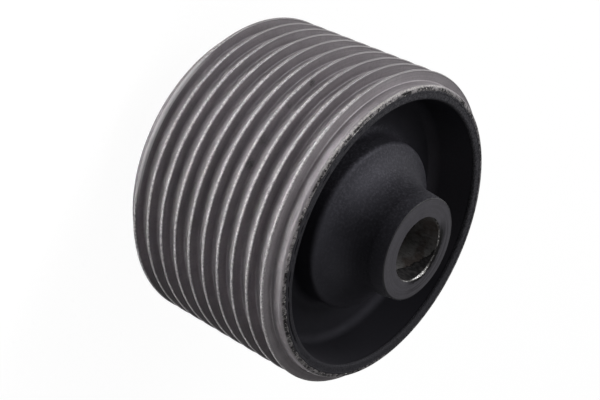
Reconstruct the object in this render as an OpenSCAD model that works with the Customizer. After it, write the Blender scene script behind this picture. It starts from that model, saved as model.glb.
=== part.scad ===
// Engine mount bush: a ribbed outer sleeve and a thick inner sleeve, joined by a bonded rubber body.
// It stands on the end face of the inner sleeve, with its axis upright and the origin under its centre.

/* [Outer sleeve] */
// Length between the two end faces of the outer sleeve
sleeve_len = 38.6; // [36:0.2:42]
// Diameter of the plain tube between the ribs
sleeve_od = 58; // [54:0.5:70]
// Wall of the tube between the ribs
sleeve_wall = 1; // [0.7:0.1:2.5]
// Rounding of the outer edge at each end
sleeve_edge = 0.8; // [0.1:0.1:1.2]

/* [Ribs of the outer sleeve] */
// Number of ribs along the sleeve
rib_count = 10; // [1:1:10]
// Distance from one rib to the next
rib_pitch = 3.6; // [2.4:0.1:3.7]
// Height of a rib above the tube
rib_height = 2; // [1:0.1:3]
// Width of the flat land on the crest of a rib
rib_land = 0.2; // [0.1:0.05:0.8]
// Lean of a rib's flanks, in degrees away from square to the axis
rib_lean = 6; // [0:1:12]
// Rounding of the two edges of a crest
rib_crest_r = 0.22; // [0.05:0.01:0.3]
// Fillet where a rib meets the tube
rib_foot_r = 0.25; // [0.1:0.05:0.7]

/* [Inner sleeve] */
// Length of the inner sleeve
tube_len = 52; // [48:0.5:70]
// Outside diameter of the inner sleeve
tube_od = 20; // [17:0.5:24]
// Diameter of the bolt that goes through
bolt_d = 12; // [8:0.5:14]
// Room between the bolt and the bore, on the diameter
bolt_clearance = 0.4; // [0.1:0.05:0.6]
// Chamfer at each mouth of the bore
bore_chamfer = 0.2; // [0.1:0.05:0.8]
// Chamfer round the outer edge of each end
tube_edge = 0.1; // [0.05:0.05:0.6]

/* [Rubber body] */
// Lining of rubber bonded inside the outer sleeve
lining_t = 1.7; // [0.8:0.1:3]
// Rounding at the mouth of each hollow
mouth_r = 0.5; // [0.1:0.1:0.7]
// Depth of each hollow below the end face of the outer sleeve
hollow_depth = 9.7; // [8:0.1:14]
// Draft of the lining's wall in each hollow, in degrees, so that the mould's core draws out
hollow_draft = 3; // [0:0.5:6]
// Fillet between the lining and the floor of the hollow
hollow_fillet = 1.8; // [0.5:0.1:4]
// Diameter of the dome round the inner sleeve
dome_d = 33.4; // [30:0.2:38]
// Height of the dome's shoulder above the floor of the hollow
dome_height = 5.8; // [5:0.2:8]
// Rounding of the dome's shoulder
dome_shoulder_r = 1.2; // [0.8:0.1:3]
// Fillet at the foot of the dome
dome_foot_r = 1.5; // [0.5:0.1:2]
// Radius of the trumpet curve from the dome up to the neck
flare_r = 8.4; // [4:0.1:10]
// Thickness of the rubber neck on the inner sleeve
neck_t = 0.4; // [0.2:0.1:1]
// Bare steel left at each end of the inner sleeve
tube_bare = 0.1; // [0.1:0.1:2]

/* [Hidden] */
$fn = 144;
// Straight pieces that stand for each round stretch of an outline
arc_steps = 8;
// Greatest share of the outer sleeve's wall that the rounding of its ends may take
most_round = 0.95;

tube_r = tube_od / 2;
bore_r = (bolt_d + bolt_clearance) / 2;
sleeve_r = sleeve_od / 2;
sleeve_bore_r = sleeve_r - sleeve_wall;
sleeve_end = sleeve_len / 2;
tube_end = tube_len / 2;

// Points along an arc about a centre, from one angle to another
function arc(centre, r, from, to) =
    [for (i = [0:arc_steps])
        let (a = from + (to - from) * i / arc_steps)
        centre + r * [cos(a), sin(a)]];

// Closes the upper half of a section with its mirror image below the middle
function both_halves(upper) =
    concat(upper, [for (i = [len(upper) - 1:-1:0]) [upper[i].x, -upper[i].y]]);

// Section of one rib, from its lower foot to its upper foot, measured from the tube's surface
flank_top = [rib_height - rib_crest_r * (1 - sin(rib_lean)), rib_land / 2 + rib_crest_r * cos(rib_lean)];
flank_foot = flank_top.y + flank_top.x * tan(rib_lean);
fillet_y = flank_foot + rib_foot_r * (1 - sin(rib_lean)) / cos(rib_lean);
rib_section = concat(
    arc([rib_foot_r, -fillet_y], rib_foot_r, 180, 90 + rib_lean),
    arc([rib_height - rib_crest_r, -rib_land / 2], rib_crest_r, rib_lean - 90, 0),
    arc([rib_height - rib_crest_r, rib_land / 2], rib_crest_r, 0, 90 - rib_lean),
    arc([rib_foot_r, fillet_y], rib_foot_r, 270 - rib_lean, 180));

// Section of the outer sleeve: a plain bore, rounded ends and the row of ribs
end_round = min(sleeve_edge, sleeve_wall * most_round);
rib_start = -rib_pitch * (rib_count - 1) / 2;
sleeve_section = concat(
    [[sleeve_bore_r, -sleeve_end]],
    arc([sleeve_r - end_round, end_round - sleeve_end], end_round, -90, 0),
    [for (i = [0:rib_count - 1]) for (p = rib_section) [sleeve_r, rib_start + rib_pitch * i] + p],
    arc([sleeve_r - end_round, sleeve_end - end_round], end_round, 0, 90),
    [[sleeve_bore_r, sleeve_end]]);

// Upper half of the rubber: neck, trumpet, shoulder, dome side, floor of the hollow and lining
lining_r = sleeve_bore_r - lining_t;
neck_r = tube_r + neck_t;
neck_end = tube_end - tube_bare;
floor_y = sleeve_end - hollow_depth;
dome_r = dome_d / 2;
shoulder = [dome_r - dome_shoulder_r, floor_y + dome_height - dome_shoulder_r];
flare_x = neck_r + flare_r;
flare_rise = sqrt(pow(flare_r + dome_shoulder_r, 2) - pow(flare_x - shoulder.x, 2));
flare = [flare_x, shoulder.y + flare_rise];
// The trumpet stops early where the neck is too short for all of it
flare_stop = 180 + asin(max(0, flare.y - neck_end) / flare_r);
flare_start = 180 + atan2(flare_rise, flare_x - shoulder.x);
// The drafted wall of the lining touches the rounding at the mouth and the fillet at the floor
wall_ends = mouth_r + hollow_fillet;
wall_foot_r = lining_r - (hollow_depth - wall_ends) * tan(hollow_draft) - wall_ends * (1 / cos(hollow_draft) - 1);
rubber_upper = concat(
    [[tube_r, neck_end]],
    flare.y < neck_end ? [[neck_r, neck_end]] : [],
    arc(flare, flare_r, flare_stop, flare_start),
    arc(shoulder, dome_shoulder_r, flare_start - 180, 0),
    arc([dome_r + dome_foot_r, floor_y + dome_foot_r], dome_foot_r, 180, 270),
    arc([wall_foot_r - hollow_fillet, floor_y + hollow_fillet], hollow_fillet, -90, -hollow_draft),
    arc([lining_r + mouth_r, sleeve_end - mouth_r], mouth_r, 180 - hollow_draft, 90),
    [[sleeve_bore_r, sleeve_end]]);

// Upper half of the inner sleeve: bore, chamfered mouth, end face and broken outer edge
tube_upper = [
    [bore_r, tube_end - bore_chamfer],
    [bore_r + bore_chamfer, tube_end],
    [tube_r - tube_edge, tube_end],
    [tube_r, tube_end - tube_edge]];

// Turns a section about the upright axis and stands it on the end of the inner sleeve
module turned(section) {
    translate([0, 0, tube_end])
        rotate_extrude()
            polygon(section);
}

module outer_sleeve() {
    color([0.42, 0.41, 0.42])
        turned(sleeve_section);
}

module rubber_body() {
    color([0.09, 0.09, 0.1])
        turned(both_halves(rubber_upper));
}

module inner_sleeve() {
    color([0.36, 0.36, 0.37])
        turned(both_halves(tube_upper));
}

outer_sleeve();
rubber_body();
inner_sleeve();
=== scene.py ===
import math

import bpy
import numpy as np
from mathutils import Euler, Matrix, Vector


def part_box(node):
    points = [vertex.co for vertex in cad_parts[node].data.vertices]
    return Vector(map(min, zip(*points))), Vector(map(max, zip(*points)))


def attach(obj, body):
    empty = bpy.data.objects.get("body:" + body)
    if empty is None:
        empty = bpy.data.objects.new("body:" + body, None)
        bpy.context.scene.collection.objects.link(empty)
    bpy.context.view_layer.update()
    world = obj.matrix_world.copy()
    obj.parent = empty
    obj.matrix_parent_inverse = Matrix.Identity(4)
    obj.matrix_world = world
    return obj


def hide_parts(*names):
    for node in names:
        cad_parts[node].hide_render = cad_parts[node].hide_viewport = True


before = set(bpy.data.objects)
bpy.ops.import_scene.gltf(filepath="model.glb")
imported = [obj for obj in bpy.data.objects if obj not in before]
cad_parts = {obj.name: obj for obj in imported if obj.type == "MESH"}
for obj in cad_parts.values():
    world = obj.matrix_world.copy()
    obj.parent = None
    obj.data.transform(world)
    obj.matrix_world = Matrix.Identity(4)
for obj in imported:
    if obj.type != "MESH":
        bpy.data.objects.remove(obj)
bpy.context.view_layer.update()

# Outer sleeve: a short steel tube with thin ribs round it, turned from bar and given a dull grey coat.
# It is pressed into the eye of a bracket by the crests of its ribs, so the coat is thin and bright there.
mm = 0.001
sleeve_low, sleeve_high = (np.array(corner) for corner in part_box("outer_sleeve"))
crest_r = np.abs([sleeve_low[:2], sleeve_high[:2]]).min()
sleeve_mid = (sleeve_low[2] + sleeve_high[2]) / 2
sleeve_half = (sleeve_high[2] - sleeve_low[2]) / 2
sleeve_wall = 1.0 * mm
sleeve_edge = 0.8 * mm
sleeve_margin = 0.045 * mm
sleeve_facets = 288
rib_count = 10
rib_pitch = 3.6 * mm
rib_height = 2.0 * mm
rib_land = 0.2 * mm
rib_lean = 6.0
rib_crest_r = 0.22 * mm
rib_foot_r = 0.25 * mm
tube_r = crest_r - rib_height
sleeve_bore_r = tube_r - sleeve_wall


def arc(x, y, r, start, stop, steps):
    """Points (x + r cos a, y + r sin a), with a going from start to stop degrees in equal steps."""
    a = np.radians(np.linspace(start, stop, steps + 1))
    return np.stack([x + r * np.cos(a), y + r * np.sin(a)], axis=-1)


def hold_edges(section, margin):
    """Adds a point at margin from each end of every stretch longer than four margins, so that the shade
    of the stretch stays flat between them."""
    step = np.roll(section, -1, axis=0) - section
    length = np.linalg.norm(step, axis=1, keepdims=True)
    near = section + step * margin / length
    far = section + step * (1 - margin / length)
    long = length[:, 0] > 4 * margin
    kept = np.stack([np.ones_like(long), long, long], axis=1)
    return np.stack([section, near, far], axis=1)[kept]


def turned(name, radius, height, facets):
    """Carries a closed section round the upright axis: point i of the section stands at radius[i, j] and
    height[i, j] at the angle 2 pi j / facets, and quads join it to the next point along and the next one
    round. An array with one column holds for the whole round."""
    points = len(radius)
    angle = np.linspace(0, 2 * np.pi, facets, endpoint=False)
    height = np.broadcast_to(height, (points, facets))
    corners = np.stack([radius * np.cos(angle), radius * np.sin(angle), height], axis=-1)
    i, j = np.meshgrid(np.arange(points), np.arange(facets), indexing="ij")
    along = (i + 1) % points
    onward = (j + 1) % facets
    quads = np.stack([
        i * facets + j,
        i * facets + onward,
        along * facets + onward,
        along * facets + j,
    ], axis=-1)
    mesh = bpy.data.meshes.new(name)
    mesh.vertices.add(points * facets)
    mesh.vertices.foreach_set("co", corners.ravel())
    mesh.loops.add(quads.size)
    mesh.loops.foreach_set("vertex_index", quads.ravel())
    mesh.polygons.add(quads.size // 4)
    mesh.polygons.foreach_set("loop_start", np.arange(0, quads.size, 4))
    mesh.update(calc_edges=True)
    mesh.shade_smooth()
    piece = bpy.data.objects.new(name, mesh)
    bpy.context.scene.collection.objects.link(piece)
    return piece


def rib():
    """Section of one rib, out from the tube's surface and up along the sleeve: foot fillet, flank, half the
    crest, and the same mirrored."""
    lean = math.radians(rib_lean)
    flank_x = rib_height - rib_crest_r * (1 - math.sin(lean))
    foot_y = rib_land / 2 + rib_crest_r * math.cos(lean) + flank_x * math.tan(lean)
    fillet_y = foot_y + rib_foot_r * (1 - math.sin(lean)) / math.cos(lean)
    upper = np.concatenate([
        arc(rib_height - rib_crest_r, rib_land / 2, rib_crest_r, 0, 90 - rib_lean, steps=4),
        arc(rib_foot_r, fillet_y, rib_foot_r, 270 - rib_lean, 180, steps=4),
    ])
    return np.concatenate([upper[::-1] * [1, -1], upper])


rib_places = (np.arange(rib_count) - (rib_count - 1) / 2) * rib_pitch
rib_feet = np.stack([np.full(rib_count, tube_r), rib_places], axis=-1)
ribs = rib()[None] + rib_feet[:, None]
sleeve_section = np.concatenate([
    [[sleeve_bore_r, -sleeve_half]],
    arc(tube_r - sleeve_edge, sleeve_edge - sleeve_half, sleeve_edge, -90, 0, steps=6),
    ribs.reshape(-1, 2),
    arc(tube_r - sleeve_edge, sleeve_half - sleeve_edge, sleeve_edge, 0, 90, steps=6),
    [[sleeve_bore_r, sleeve_half]],
])
sleeve_section = hold_edges(sleeve_section, sleeve_margin)
sleeve_height = sleeve_mid + sleeve_section[:, 1:]
sleeve = turned("ribbed_sleeve", sleeve_section[:, :1], sleeve_height, sleeve_facets)


class Finish:
    """A new material with a principled shader. Most methods add nodes and give back the socket that comes
    out of them. A value for a socket is a number, a colour or another node's socket."""

    def __init__(self, name):
        self.material = bpy.data.materials.new(name)
        self.material.use_nodes = True
        self.tree = self.material.node_tree
        self.place = self.add("ShaderNodeTexCoord", "Object", {})
        self.x, self.y, self.z = self.add("ShaderNodeSeparateXYZ", "X", {0: self.place}).node.outputs
        flat = self.add("ShaderNodeCombineXYZ", 0, {"X": self.x, "Y": self.y})
        self.r = self.add("ShaderNodeVectorMath", "Value", {0: flat}, operation="LENGTH")
        middle = self.math("SUBTRACT", self.z, sleeve_mid)
        self.from_middle = self.math("ABSOLUTE", middle)

    def put(self, node, sockets):
        """Links or sets each of the node's inputs."""
        for socket, value in sockets.items():
            if isinstance(value, bpy.types.NodeSocket):
                self.tree.links.new(value, node.inputs[socket])
            else:
                node.inputs[socket].default_value = value

    def add(self, kind, output, sockets, **settings):
        """A node of that kind, with its settings and inputs."""
        node = self.tree.nodes.new(kind)
        for setting, value in settings.items():
            setattr(node, setting, value)
        self.put(node, sockets)
        return node.outputs[output]

    def math(self, operation, a, b=0.0, c=0.0):
        """One sum on up to three values."""
        return self.add("ShaderNodeMath", 0, {0: a, 1: b, 2: c}, operation=operation)

    def share(self, value, low, high, at_low=0.0, at_high=1.0):
        """Eases from at_low to at_high as the value goes from low to high."""
        ends = {"Value": value, 1: low, 2: high, 3: at_low, 4: at_high}
        return self.add("ShaderNodeMapRange", 0, ends, interpolation_type="SMOOTHSTEP")

    def all_of(self, first, *others):
        """The product of the shares, which is 1 only where each of them is."""
        product = first
        for share in others:
            product = self.math("MULTIPLY", product, share)
        return product

    def noise(self, size, detail=2.0, roughness=0.5, vector=None):
        """Cloudy values about one half, with lumps of about that size in metres."""
        settings = {
            "Vector": vector or self.place,
            "Scale": 1.0 / size,
            "Detail": detail,
            "Roughness": roughness,
        }
        return self.add("ShaderNodeTexNoise", "Fac", settings)

    def rings(self, size):
        """Noise drawn out round the axis: it changes within size along the section, and within about 14 mm
        round it."""
        round_scale = 70
        scale = (round_scale, round_scale, 1 / size)
        along = self.math("ADD", self.z, self.r)
        drawn = self.add("ShaderNodeCombineXYZ", 0, {"X": self.x, "Y": self.y, "Z": along})
        scaled = self.add("ShaderNodeVectorMath", 0, {0: drawn, 1: scale}, operation="MULTIPLY")
        return self.add("ShaderNodeTexNoise", "Fac", {"Vector": scaled, "Scale": 1.0, "Detail": 2.0})

    def mix(self, share, a, b):
        """Colour a where the share is 0, and colour b where it is 1."""
        node = self.tree.nodes.new("ShaderNodeMix")
        node.data_type = "RGBA"
        self.put(node, {0: share, 6: a, 7: b})
        return node.outputs[2]

    def bump(self, height, depth, under=None):
        """Raises the surface by depth metres where the height goes from 0 to 1, over an earlier bump."""
        sockets = {"Height": height, "Strength": 1.0, "Distance": depth}
        if under:
            sockets["Normal"] = under
        return self.add("ShaderNodeBump", 0, sockets)

    def shade(self, sockets):
        """Sets the shader's inputs and gives back the material."""
        self.put(self.tree.nodes["Principled BSDF"], sockets)
        return self.material


# The coat is cloudy, with faint turning marks round it and fine dark specks.
steel = Finish("coated_steel")
coat_dark = (0.335, 0.313, 0.327, 1)
coat_pale = (0.395, 0.371, 0.387, 1)
coat_streak = (0.27, 0.251, 0.265, 1)
coat_speck = (0.235, 0.219, 0.228, 1)
grain = steel.noise(0.16 * mm, 3.0, 0.6)
blotch = steel.noise(5.0 * mm, 3.0, 0.6)
streak = steel.rings(0.22 * mm)
speckle = steel.noise(0.45 * mm, 2.0, 0.75)
coat = steel.mix(steel.share(blotch, 0.3, 0.7), coat_dark, coat_pale)
coat = steel.mix(steel.share(streak, 0.25, 0.75, 0.0, 0.5), coat, coat_streak)
coat = steel.mix(steel.share(speckle, 0.52, 0.70, 0.0, 0.4), coat, coat_speck)

# The crests are rubbed bright in grains, where the coat is thinnest. On the -X side they are painted darker,
# a painted shade that dims their highlight there.
crest_dark = (0.29, 0.278, 0.285, 1)
crest_bright = (0.565, 0.544, 0.551, 1)
crest_painted_shade = (0.325, 0.31, 0.318, 1)
crest = steel.share(steel.r, crest_r - 0.4 * mm, crest_r - 0.05 * mm)
nick = steel.noise(0.5 * mm, 3.0, 0.75)
# Painted shade: the crests' colour is darkened towards the -X side.
painted_shade_side = steel.share(steel.x, -13 * mm, -26 * mm)
rubbed = steel.mix(steel.share(nick, 0.38, 0.62), crest_dark, crest_bright)
rubbed = steel.mix(painted_shade_side, rubbed, crest_painted_shade)
coat = steel.mix(crest, coat, rubbed)

# The lowest rib's crest is painted pale and matt over a stretch on two sides, a painted highlight for the
# bright rim it shows.
rim_sheen_pale = (0.58, 0.577, 0.58, 1)
low_rib = sleeve_mid + rib_places[0]
# Painted highlight: this mask makes the crest pale, matt and less metallic.
painted_rim_sheen = steel.all_of(
    steel.share(steel.z, low_rib + 0.50 * mm, low_rib + 0.35 * mm),
    steel.share(steel.r, crest_r - 0.75 * mm, crest_r - 0.55 * mm),
    steel.share(steel.math("ABSOLUTE", steel.x), 17 * mm, 10 * mm),
)
coat = steel.mix(painted_rim_sheen, coat, rim_sheen_pale)

# Four dark smudges lie along the upper flank of the fourth rib from the top. Each has its place in degrees
# round from the side at -Y, its size and its strength.
smudge_dark = (0.11, 0.103, 0.107, 1)
smudge_spots = (
    (-37, 0.9 * mm, 1.0),
    (-25, 0.9 * mm, 0.6),
    (-10, 1.6 * mm, 0.5),
    (-1, 1.4 * mm, 0.8),
)
flank_z = sleeve_mid + rib_places[6] + 0.4 * mm
flank_r = 30.0 * mm
smudge = 0.0
for turn, size, strength in smudge_spots:
    angle = math.radians(turn)
    spot = (flank_r * math.sin(angle), -flank_r * math.cos(angle), flank_z)
    away = steel.add("ShaderNodeVectorMath", "Value", {0: steel.place, 1: spot}, operation="DISTANCE")
    smudge = steel.math("MAXIMUM", smudge, steel.share(away, size, 0.3 * size, 0.0, strength))
smudge = steel.math("MULTIPLY", smudge, steel.share(nick, 0.34, 0.60))
coat = steel.mix(smudge, coat, smudge_dark)

# The rounded ends are rough from trimming: dark crumbs cling to them in patches, with a few bright flecks.
crumb_dark = (0.03, 0.0287, 0.03, 1)
crumb_pale = (0.32, 0.305, 0.311, 1)
fleck_bright = (0.55, 0.53, 0.52, 1)
edge = steel.share(steel.from_middle, sleeve_half - 0.40 * mm, sleeve_half - 0.10 * mm)
crumb = steel.noise(0.8 * mm, 4.0, 0.7)
patch = steel.noise(3.0 * mm, 2.0, 0.5)
patched_crumb = steel.math("MULTIPLY_ADD", patch, 0.6, crumb)
fleck = steel.share(steel.noise(0.45 * mm, 2.0, 0.6), 0.62, 0.70)
rough_end = steel.mix(steel.share(patched_crumb, 0.69, 0.91), crumb_dark, crumb_pale)
rough_end = steel.mix(fleck, rough_end, fleck_bright)
coat = steel.mix(edge, coat, rough_end)

# Along one quarter of the round the rounded ends are painted bright in flecks, a painted highlight on the
# side that faces the light.
edge_glint_bright = (0.62, 0.60, 0.585, 1)
painted_edge_glint = steel.all_of(
    steel.share(steel.from_middle, sleeve_half - 0.62 * mm, sleeve_half - 0.48 * mm),
    steel.share(steel.from_middle, sleeve_half - 0.14 * mm, sleeve_half - 0.26 * mm),
    steel.share(steel.x, -2 * mm, -8 * mm),
    steel.share(steel.y, -2 * mm, -9 * mm),
    steel.share(steel.noise(0.4 * mm, 3.0, 0.7), 0.34, 0.62),
)
coat = steel.mix(painted_edge_glint, coat, edge_glint_bright)

normal = steel.bump(grain, 0.014 * mm)
normal = steel.bump(streak, 0.010 * mm, normal)
normal = steel.bump(steel.math("MULTIPLY", edge, crumb), 0.16 * mm, normal)
normal = steel.bump(steel.math("MULTIPLY", crest, nick), 0.08 * mm, normal)
normal = steel.bump(steel.math("SUBTRACT", 1.0, smudge), 0.03 * mm, normal)
roughness = steel.share(blotch, 0.3, 0.7, 0.63, 0.57)
roughness = steel.math("MULTIPLY_ADD", crest, -0.05, roughness)
roughness = steel.math("MULTIPLY_ADD", painted_rim_sheen, 0.15, roughness)
roughness = steel.math("MULTIPLY_ADD", edge, 0.12, roughness)
sleeve.data.materials.append(steel.shade({
    "Base Color": coat,
    "Metallic": steel.math("MULTIPLY_ADD", painted_rim_sheen, -0.85, 1.0),
    "Roughness": roughness,
    "Normal": normal,
}))
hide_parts("outer_sleeve")
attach(sleeve, "root")

# Rubber body: one black moulding, bonded to both sleeves. A thin lining covers the bore of the outer sleeve,
# a thick web fills the middle, and a dome at each end runs up the inner sleeve like a trumpet.
tube_low, tube_high = (np.array(corner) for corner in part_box("inner_sleeve"))
inner_r = tube_high[0]
inner_half = (tube_high[2] - tube_low[2]) / 2
rubber_margin = 0.08 * mm
rubber_facets = 288
lining = 1.7 * mm
mouth_r = 0.5 * mm
hollow_depth = 9.7 * mm
hollow_fillet = 1.8 * mm
hollow_draft = 3.0
dome_r = 16.7 * mm
dome_height = 5.8 * mm
dome_foot_r = 1.5 * mm
shoulder_r = 1.2 * mm
flare_r = 8.4 * mm
neck = 0.4 * mm
neck_tip = 0.06 * mm
bare_end = 0.1 * mm
gap_r = sleeve_bore_r - 0.6 * mm
gap_width = 0.22 * mm
gap_wall = 0.05 * mm
gap_depth = 0.5 * mm
gap_reach = 0.3 * mm
gap_sway = 0.1 * mm
gap_turn = 275
gap_lip = gap_width / 2 + gap_wall
gap_across = (gap_lip, gap_width / 2, -gap_width / 2, -gap_lip)


def rubber_half():
    """Upper half of the rubber's section, from the outer sleeve's end in to the neck: end face with the four
    points of a gap that is still shut, lining, floor of the hollow, dome side, shoulder, a trumpet arc that
    touches the shoulder's arc, and a neck that thins out to its end."""
    lining_r = sleeve_bore_r - lining
    floor = sleeve_half - hollow_depth
    draft = math.radians(hollow_draft)
    wall_ends = mouth_r + hollow_fillet
    wall_in = (hollow_depth - wall_ends) * math.tan(draft)
    foot_r = lining_r - wall_in - wall_ends * (1 / math.cos(draft) - 1)
    shoulder_x = dome_r - shoulder_r
    shoulder_y = floor + dome_height - shoulder_r
    flare_x = inner_r + neck + flare_r
    rise = math.sqrt((flare_r + shoulder_r) ** 2 - (flare_x - shoulder_x) ** 2)
    touch = math.degrees(math.atan2(rise, flare_x - shoulder_x))
    return np.concatenate([
        [[sleeve_bore_r, sleeve_half]],
        [[gap_r + across, sleeve_half] for across in gap_across],
        arc(lining_r + mouth_r, sleeve_half - mouth_r, mouth_r, 90, 180 - hollow_draft, steps=6),
        arc(foot_r - hollow_fillet, floor + hollow_fillet, hollow_fillet, -hollow_draft, -90, steps=10),
        arc(dome_r + dome_foot_r, floor + dome_foot_r, dome_foot_r, 270, 180, steps=6),
        arc(shoulder_x, shoulder_y, shoulder_r, 0, touch, steps=12),
        arc(flare_x, shoulder_y + rise, flare_r, 180 + touch, 180, steps=14)[1:],
        [[inner_r + neck_tip, inner_half - bare_end], [inner_r, inner_half - bare_end]],
    ])


def ragged(facets, waves, seed):
    """A closed wavy line between -1 and 1: cosines of 1 to waves times the angle, each with a seeded size
    and phase, with sizes that fall as one over the square root of the number of waves."""
    chance = np.random.default_rng(seed)
    angle = np.linspace(0, 2 * np.pi, facets, endpoint=False)
    count = np.arange(1, waves + 1)[:, None]
    size = chance.normal(size=(waves, 1)) / np.sqrt(count)
    line = (size * np.cos(count * angle + chance.uniform(0, 2 * np.pi, (waves, 1)))).sum(axis=0)
    return line / np.abs(line).max()


# On one side the trimming pulled the rubber away from the sleeve, which left a broken gap in each end face.
# The gap fades out round from that side, and it is open only where a ragged line runs high.
upper = rubber_half()
rubber_section = hold_edges(np.concatenate([upper, upper[::-1] * [1, -1]]), rubber_margin)
section_r = rubber_section[:, :1]
section_z = rubber_section[:, 1:]
rubber_angle = np.linspace(0, 2 * np.pi, rubber_facets, endpoint=False)
gap_side = np.clip(2 * np.cos(rubber_angle - math.radians(gap_turn)) - 0.6, 0, 1)
gap_broken = np.clip(0.1 + 2.4 * ragged(rubber_facets, 70, 5), 0, 1)
gap_open = gap_depth * gap_side * gap_broken
gap_wander = gap_sway * ragged(rubber_facets, 24, 7)
from_gap = np.abs(section_r - gap_r)
at_end = sleeve_half - np.abs(section_z) < gap_wall
in_gap = at_end & (from_gap < gap_width / 2 + gap_wall / 2)
near_gap = at_end & (from_gap < gap_reach)
rubber_radius = section_r + near_gap * gap_wander
rubber_height = sleeve_mid + section_z - np.sign(section_z) * in_gap * gap_open
rubber = turned("rubber_moulding", rubber_radius, rubber_height, rubber_facets)

# The skin is hazy, and grey dust lies in its grain. The grey is stronger on the -X side, where the light
# falls, so it is partly a painted sheen.
black = Finish("black_rubber")
skin_dark = (0.010, 0.0098, 0.0124, 1)
skin_pale = (0.015, 0.0148, 0.0184, 1)
dust_and_sheen_grey = (0.046, 0.045, 0.054, 1)
grain = black.noise(0.45 * mm, 3.0, 0.7)
haze = black.noise(4.0 * mm, 3.0, 0.6)
dust_and_sheen_side = black.share(black.x, 6 * mm, -12 * mm, 0.25, 1.0)
dust_and_sheen_grain = black.math("MULTIPLY", dust_and_sheen_side, black.share(grain, 0.44, 0.68))
tone = black.mix(black.share(haze, 0.3, 0.7), skin_dark, skin_pale)
tone = black.mix(dust_and_sheen_grain, tone, dust_and_sheen_grey)

# The hollows outside the domes are painted a deeper black, a painted shade. The lining's far side, which
# lies in shade, is painted lighter, a painted fill light.
hollow_painted_shade = (0.007, 0.0068, 0.0088, 1)
lining_painted_light = (0.026, 0.0245, 0.0285, 1)
hollow = black.share(black.r, dome_r + 0.5 * mm, dome_r + 3 * mm)
far_side = black.all_of(
    black.share(black.y, 4 * mm, 18 * mm),
    black.share(black.x, 6 * mm, -6 * mm),
)
painted_light_lining = black.math("MULTIPLY", far_side, black.share(black.r, 23.6 * mm, 24.3 * mm))
tone = black.mix(hollow, tone, hollow_painted_shade)
tone = black.mix(painted_light_lining, tone, lining_painted_light)

# The rubber's end faces are trimmed, so they are rougher and greyer than the moulded skin. The cut ran
# askew, so it reaches deeper on one side. Their grey is stronger on the -X side, a painted sheen where the
# light falls.
cut_dark = (0.009, 0.0088, 0.010, 1)
cut_grey = (0.050, 0.049, 0.0525, 1)
cut_slope = 0.0145
cut = black.math("MULTIPLY_ADD", black.y, cut_slope, black.from_middle)
trimmed = black.all_of(
    black.share(cut, sleeve_half - 0.52 * mm, sleeve_half - 0.38 * mm),
    black.share(black.r, 24 * mm, 25 * mm),
)
torn = black.noise(0.35 * mm, 3.0, 0.65)
torn_grey_and_sheen = black.all_of(
    black.share(torn, 0.35, 0.65),
    black.share(black.x, -18 * mm, 8 * mm, 1.0, 0.35),
)
tone = black.mix(trimmed, tone, black.mix(torn_grey_and_sheen, cut_dark, cut_grey))

normal = black.bump(black.math("MULTIPLY", dust_and_sheen_side, grain), 0.05 * mm)
normal = black.bump(black.math("MULTIPLY", trimmed, torn), 0.19 * mm, normal)
roughness = black.share(haze, 0.3, 0.7, 0.55, 0.62)
roughness = black.math("MULTIPLY_ADD", black.math("MAXIMUM", trimmed, hollow), 0.16, roughness)
roughness = black.math("MULTIPLY_ADD", black.math("MULTIPLY", far_side, hollow), 0.22, roughness)
rubber_skin = black.shade({
    "Base Color": tone,
    "Roughness": roughness,
    "Specular IOR Level": 0.445,
    "Specular Tint": (0.86, 0.846, 1.0, 1),
    "Normal": normal,
})
rubber.data.materials.append(rubber_skin)
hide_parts("rubber_body")
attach(rubber, "root")

# Flash: a thin ragged film of rubber that the mould squeezed out over each end of the outer sleeve.
# It covers the seam between the two and stops short of the sleeve's rounded edge.
edge_facets = 1100
ring_sunk = 0.03 * mm
flash_depth = 0.06 * mm
flash_profile = np.array([0.0, 0.8, 1.0, 0.9, 0.1])
flash_swell = 0.7
flash_out = 0.02 * mm
flash_out_ragged = 0.30 * mm
flash_in = 0.35 * mm
flash_in_ragged = 0.12 * mm
flash_askew = 0.18 * mm
flash_turn = 290


def end_ring(name, side, inner, outer, depth):
    """A thin ring on the sleeve's end at that side: points across it run from the inner line to the outer
    one, at the height of the end face or rounded edge below them plus depth[i, j], and the ring closes just
    beneath them."""
    across = np.linspace(0, 1, len(depth))[:, None]
    radius = inner + (outer - inner) * across
    past = np.clip(radius - (tube_r - sleeve_edge), 0, sleeve_edge)
    base = sleeve_half - sleeve_edge + np.sqrt(sleeve_edge ** 2 - past ** 2)
    radius = np.concatenate([radius[::-1], radius])
    height = np.concatenate([(base + depth)[::-1], base - ring_sunk])
    if side < 0:
        radius = radius[::-1]
        height = height[::-1]
    return turned(name, radius, sleeve_mid + side * height, edge_facets)


edge_angle = np.linspace(0, 2 * np.pi, edge_facets, endpoint=False)
askew = flash_askew * np.cos(edge_angle - math.radians(flash_turn))
for side, end, seed in ((1, "top", 11), (-1, "bottom", 31)):
    outer = sleeve_bore_r + flash_out + askew + flash_out_ragged * ragged(edge_facets, 90, seed)
    inner = sleeve_bore_r - flash_in + flash_in_ragged * ragged(edge_facets, 90, seed + 1)
    swell = np.stack([ragged(edge_facets, 130, seed + 2 + k) for k in range(len(flash_profile))])
    depth = flash_depth * flash_profile[:, None] * (1 + flash_swell * swell)
    film = end_ring("flash_" + end, side, inner, outer, depth)
    film.data.materials.append(rubber_skin)
    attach(film, "root")

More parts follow.
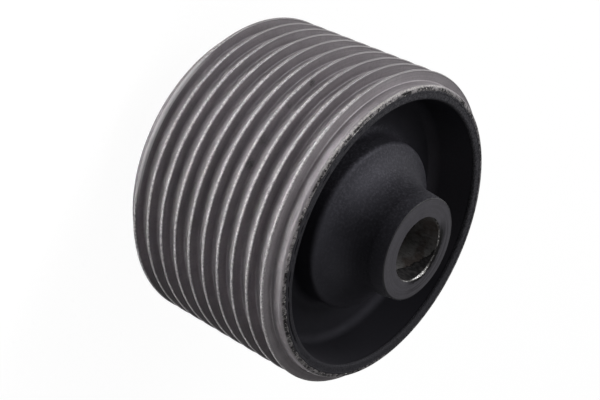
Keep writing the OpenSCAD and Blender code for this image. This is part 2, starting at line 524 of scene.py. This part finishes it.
# Burr: a broken ridge of steel that the cutting tool raised along the inner side of each rounded end.
# It stands up only here and there, and its bare flakes catch the light.
burr_height = 0.11 * mm
burr_profile = np.array([-0.1, 0.5, 1.0, 0.45, -0.1])
burr_fine = 1.8
burr_slow = 0.9
burr_sunk = 0.55
burr_out = 0.12 * mm
burr_sway = 0.14 * mm
burr_half = 0.10 * mm
burr_half_ragged = 0.06 * mm
flake_dark = (0.12, 0.114, 0.116, 1)
flake_bright = (0.56, 0.545, 0.535, 1)
flake = Finish("bare_burr")
torn = flake.share(flake.noise(0.5 * mm, 3.0, 0.7), 0.46, 0.66)
flake_steel = flake.shade({
    "Base Color": flake.mix(torn, flake_dark, flake_bright),
    "Metallic": 1.0,
    "Roughness": flake.share(torn, 0.0, 1.0, 0.6, 0.4),
    "Normal": flake.bump(flake.noise(0.2 * mm, 3.0, 0.6), 0.03 * mm),
})
for side, end, seed in ((1, "top", 71), (-1, "bottom", 91)):
    line = sleeve_bore_r + burr_out + burr_sway * ragged(edge_facets, 60, seed)
    fine_stand = burr_fine * ragged(edge_facets, 150, seed + 1)
    slow_stand = burr_slow * ragged(edge_facets, 12, seed + 3)
    stand = np.clip(fine_stand + slow_stand - burr_sunk, -0.2, 1)
    depth = burr_height * burr_profile[:, None] * stand
    half = burr_half + burr_half_ragged * ragged(edge_facets, 70, seed + 2)
    ridge = end_ring("burr_" + end, side, line - half, line + half, depth)
    ridge.data.materials.append(flake_steel)
    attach(ridge, "root")

# Inner sleeve: a thick steel tube for the through bolt, cut off square and bonded inside the rubber.
# Its end faces are turned, and the small chamfer at each mouth of its bore is left ragged, with a torn lip.
bore_r = 6.2 * mm
bore_chamfer = 0.2 * mm
tube_edge = 0.1 * mm
inner_margin = 0.03 * mm
inner_facets = 320
mouth_near = 0.05 * mm
mouth_ragged = 0.07 * mm
lip_turn = 60.0
lip_spread = 15.0
lip_width = 0.40 * mm
lip_ragged = 0.6
upper = np.array([
    [inner_r, inner_half - tube_edge],
    [inner_r - tube_edge, inner_half],
    [bore_r + bore_chamfer, inner_half],
    [bore_r, inner_half - bore_chamfer],
])
inner_section = hold_edges(np.concatenate([upper, upper[::-1] * [1, -1]]), inner_margin)
inner_radius = np.repeat(inner_section[:, :1], inner_facets, axis=1)
inner_height = sleeve_mid + inner_section[:, 1:]
mouth = np.abs(inner_section[:, 0] - bore_r - bore_chamfer) < mouth_near
mouth_turn = np.linspace(0, 360, inner_facets, endpoint=False)
torn_lip = np.exp(-((mouth_turn - lip_turn) / lip_spread) ** 2)
lip_line = lip_width * torn_lip * (1 + lip_ragged * ragged(inner_facets, 110, 53))
inner_radius[mouth] += mouth_ragged * ragged(inner_facets, 80, 51) + lip_line
inner = turned("bolt_sleeve", inner_radius, inner_height, inner_facets)

# The end faces are dark and mottled, with fine turning marks.
dark = Finish("turned_steel")
face_dark = (0.193, 0.187, 0.208, 1)
face_pale = (0.229, 0.222, 0.247, 1)
face_streak = (0.135, 0.131, 0.143, 1)
face_mottle = (0.145, 0.141, 0.154, 1)
streak = dark.rings(0.16 * mm)
grain = dark.noise(0.2 * mm, 3.0, 0.6)
smear = dark.noise(3.0 * mm, 3.0, 0.6)
mottle = dark.noise(0.35 * mm, 3.0, 0.7)
tone = dark.mix(dark.share(smear, 0.3, 0.7), face_dark, face_pale)
tone = dark.mix(dark.share(streak, 0.3, 0.75, 0.0, 0.6), tone, face_streak)
tone = dark.mix(dark.share(mottle, 0.42, 0.68, 0.0, 0.5), tone, face_mottle)

# On one side the face is darker in a ragged band next to the bore, and scored in arcs further out.
scored_dark = (0.070, 0.068, 0.073, 1)
bore_band_dark = (0.030, 0.029, 0.030, 1)
marked_turn = math.radians(85)
across = dark.math("MULTIPLY", dark.y, math.sin(marked_turn))
across = dark.math("MULTIPLY_ADD", dark.x, math.cos(marked_turn), across)
marked_side = dark.share(dark.math("DIVIDE", across, dark.r), 0.25, 0.80)
scored = dark.all_of(
    marked_side,
    dark.share(dark.rings(0.45 * mm), 0.38, 0.58),
    dark.share(dark.r, 9.6 * mm, 7.6 * mm),
)
bore_band_edge = dark.math("MULTIPLY_ADD", dark.noise(0.6 * mm, 3.0, 0.7), 1.6 * mm, bore_r + 0.15 * mm)
bore_band_mask = dark.all_of(
    marked_side,
    dark.share(dark.math("SUBTRACT", bore_band_edge, dark.r), -0.25 * mm, 0.1 * mm),
)
tone = dark.mix(scored, tone, scored_dark)
tone = dark.mix(bore_band_mask, tone, bore_band_dark)

# Rubber is smeared over the outer edge of each end.
rim_rubber = (0.012, 0.0117, 0.0135, 1)
rim_edge = dark.math("MULTIPLY_ADD", smear, 0.2 * mm, inner_r - 0.32 * mm)
rim = dark.share(dark.math("SUBTRACT", dark.r, rim_edge), -0.06 * mm, 0.06 * mm)
tone = dark.mix(rim, tone, rim_rubber)

# Inside the bore the steel is drawn along the axis, grey with brown stains. Each mouth has a dark band of
# residue with a ragged edge, which reaches deeper on one side.
bore_grey = (0.28, 0.275, 0.272, 1)
bore_brown = (0.15, 0.126, 0.116, 1)
bore_drawn = (0.06, 0.057, 0.056, 1)
residue_dark = (0.03, 0.0288, 0.031, 1)
residue_pale = (0.095, 0.091, 0.092, 1)
residue_edge = (0.012, 0.0115, 0.012, 1)
residue_slope = 0.68
in_bore = dark.share(dark.r, bore_r + 0.12 * mm, bore_r + 0.05 * mm)
stretched = dark.add("ShaderNodeVectorMath", 0, {0: dark.place, 1: (1, 1, 0.35)}, operation="MULTIPLY")
drawn = dark.noise(0.4 * mm, 4.0, 0.65, stretched)
stain = dark.noise(3.5 * mm, 3.0, 0.6)
bore_tone = dark.mix(dark.share(stain, 0.42, 0.60), bore_grey, bore_brown)
bore_tone = dark.mix(dark.share(drawn, 0.42, 0.75, 0.0, 0.65), bore_tone, bore_drawn)
ragged_edge = dark.math("MULTIPLY_ADD", dark.noise(1.1 * mm, 4.0, 0.65), 2.6 * mm, -0.5 * mm)
reach = dark.math("MULTIPLY_ADD", dark.x, residue_slope, ragged_edge)
depth = dark.math("SUBTRACT", inner_half, dark.from_middle)
past = dark.math("SUBTRACT", depth, reach)
residue = dark.mix(dark.share(drawn, 0.36, 0.64), residue_dark, residue_pale)
edge_line = dark.share(dark.math("ABSOLUTE", past), 0.3 * mm, 0.1 * mm, 0.0, 0.8)
bore_tone = dark.mix(dark.share(past, 0.12 * mm, -0.12 * mm), bore_tone, residue)
bore_tone = dark.mix(edge_line, bore_tone, residue_edge)
tone = dark.mix(in_bore, tone, bore_tone)

# The chamfer at the bore's mouth is bright, fresh metal, torn here and there. In one quarter its streaks are
# painted near white, a painted glint.
mouth_dark = (0.05, 0.048, 0.047, 1)
mouth_bright = (0.36, 0.352, 0.345, 1)
mouth_glint_white = (0.80, 0.79, 0.775, 1)
in_mouth = dark.all_of(
    dark.share(depth, bore_chamfer, bore_chamfer - 0.04 * mm),
    dark.share(depth, 0.004 * mm, 0.016 * mm),
    dark.share(dark.r, bore_r + 1.4 * mm, bore_r + 1.2 * mm),
)
torn = dark.share(dark.noise(0.6 * mm, 3.0, 0.65), 0.46, 0.60)
lip_painted_glint = dark.all_of(
    dark.share(dark.x, 1.6 * mm, 2.6 * mm),
    dark.share(dark.y, 2.6 * mm, 3.8 * mm),
    dark.share(torn, 0.0, 0.6, 0.3, 1.0),
    dark.share(streak, 0.42, 0.56, 0.15, 1.0),
)
fresh = dark.mix(torn, mouth_dark, mouth_bright)
fresh = dark.mix(lip_painted_glint, fresh, mouth_glint_white)
tone = dark.mix(in_mouth, tone, fresh)

bare = dark.math("MAXIMUM", in_bore, in_mouth)
normal = dark.bump(grain, 0.012 * mm)
normal = dark.bump(streak, 0.010 * mm, normal)
normal = dark.bump(dark.math("MULTIPLY", bare, drawn), 0.06 * mm, normal)
roughness = dark.share(smear, 0.3, 0.7, 0.58, 0.50)
roughness = dark.math("MULTIPLY_ADD", in_mouth, -0.2, roughness)
metallic = dark.math("MULTIPLY_ADD", in_bore, -0.4, 1.0)
metallic = dark.math("SUBTRACT", metallic, rim)
inner.data.materials.append(dark.shade({
    "Base Color": tone,
    "Metallic": metallic,
    "Roughness": roughness,
    "Normal": normal,
}))
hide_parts("inner_sleeve")
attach(inner, "root")

# Floor: a plain pale sheet that the bush stands on. Seen directly it is white with a faint shadow, and in
# the steel it shows as it is lit, with a slight glow.
floor_half = 3.0
floor_grey = 0.75
mirrored_glow = 0.27
direct_grey = 0.05
direct_glow = 0.965
floor_corners = floor_half * np.array([(-1, -1, 0), (1, -1, 0), (1, 1, 0), (-1, 1, 0)])
sheet_mesh = bpy.data.meshes.new("floor")
sheet_mesh.from_pydata(floor_corners.tolist(), [], [(0, 1, 2, 3)])
floor = bpy.data.objects.new("floor", sheet_mesh)
bpy.context.scene.collection.objects.link(floor)
white = bpy.data.materials.new("white_floor")
white.use_nodes = True
white.cycles.emission_sampling = "NONE"
tree = white.node_tree
tree.nodes.clear()


def lit_sheet(grey, glow):
    """A matt surface of that grey that also glows with that strength."""
    matt = tree.nodes.new("ShaderNodeBsdfDiffuse")
    matt.inputs["Color"].default_value = (grey, grey, grey, 1)
    light = tree.nodes.new("ShaderNodeEmission")
    light.inputs["Strength"].default_value = glow
    both = tree.nodes.new("ShaderNodeAddShader")
    tree.links.new(matt.outputs[0], both.inputs[0])
    tree.links.new(light.outputs[0], both.inputs[1])
    return both.outputs[0]


def either(share, at_zero, at_one):
    """The first shader where the share is 0, and the second where it is 1."""
    node = tree.nodes.new("ShaderNodeMixShader")
    tree.links.new(share, node.inputs[0])
    tree.links.new(at_zero, node.inputs[1])
    tree.links.new(at_one, node.inputs[2])
    return node.outputs[0]


path = tree.nodes.new("ShaderNodeLightPath")
seen_in = tree.nodes.new("ShaderNodeMath")
seen_in.operation = "MAXIMUM"
tree.links.new(path.outputs["Is Glossy Ray"], seen_in.inputs[0])
tree.links.new(path.outputs["Is Transmission Ray"], seen_in.inputs[1])
plain = lit_sheet(floor_grey, 0.0)
mirrored = lit_sheet(floor_grey, mirrored_glow)
direct = lit_sheet(direct_grey, direct_glow)
indirect = either(seen_in.outputs[0], plain, mirrored)
out = tree.nodes.new("ShaderNodeOutputMaterial")
tree.links.new(either(path.outputs["Is Camera Ray"], indirect, direct), out.inputs[0])
floor.data.materials.append(white)

# Light: five soft boxes of one size stand round the bush: the key beside it, and others in front, low
# behind, opposite and above. A narrow lamp lights the floor in front of it, and the room is dim and even.
room_glow = 0.03
box_size = (0.42, 0.42)
box_target = (0, 0, 0.026)
world = bpy.data.worlds.new("room")
bpy.context.scene.world = world
world.use_nodes = True
room = world.node_tree.nodes["Background"]
room.inputs["Color"].default_value = (1, 1, 1, 1)
room.inputs["Strength"].default_value = room_glow


def soft_box(name, place, target, size, power, spread=180.0):
    """An oblong lamp at that place, facing the target, whose light leaves it within the spread, in
    degrees."""
    lamp = bpy.data.lights.new(name, "AREA")
    lamp.shape = "RECTANGLE"
    lamp.size, lamp.size_y = size
    lamp.energy = power
    lamp.spread = math.radians(spread)
    box = bpy.data.objects.new(name, lamp)
    box.location = place
    box.rotation_euler = (Vector(target) - Vector(place)).to_track_quat("-Z", "Y").to_euler()
    bpy.context.scene.collection.objects.link(box)


soft_box("key_box", (-0.42, 0.0, 0.45), box_target, box_size, 1.65)
soft_box("front_box", (-0.37, -0.21, 0.45), box_target, box_size, 0.85)
soft_box("low_box", (-0.41, 0.41, 0.18), box_target, box_size, 0.85)
soft_box("fill_box", (0.49, 0.0, 0.37), box_target, box_size, 0.45)
soft_box("top_box", (0.0, 0.155, 0.606), box_target, box_size, 0.45)
soft_box("floor_lamp", (0.004, -0.101, 0.5), (0.004, -0.1, 0), (0.15, 0.05), 0.54, 12)

# Camera: the photograph looks down on the top end of the bush, which lies on its side there. The bush stands
# upright here, so the camera is rolled to match.
camera_place = (0.0, -0.2138, 0.1718)
camera_down = 34.70
camera_right = 0.372
camera_roll = 116.18
camera_data = bpy.data.cameras.new("camera")
camera_data.lens = 80.76
camera_data.sensor_width = 36.0
camera = bpy.data.objects.new("camera", camera_data)
camera.location = camera_place
camera_turn = Euler((math.radians(90 - camera_down), 0, math.radians(-camera_right)), "XYZ").to_matrix()
camera_spin = Matrix.Rotation(math.radians(camera_roll), 3, "Z")
camera.rotation_euler = (camera_turn @ camera_spin).to_euler()
bpy.context.scene.collection.objects.link(camera)
bpy.context.scene.camera = camera
bpy.context.scene.view_settings.view_transform = "Standard"
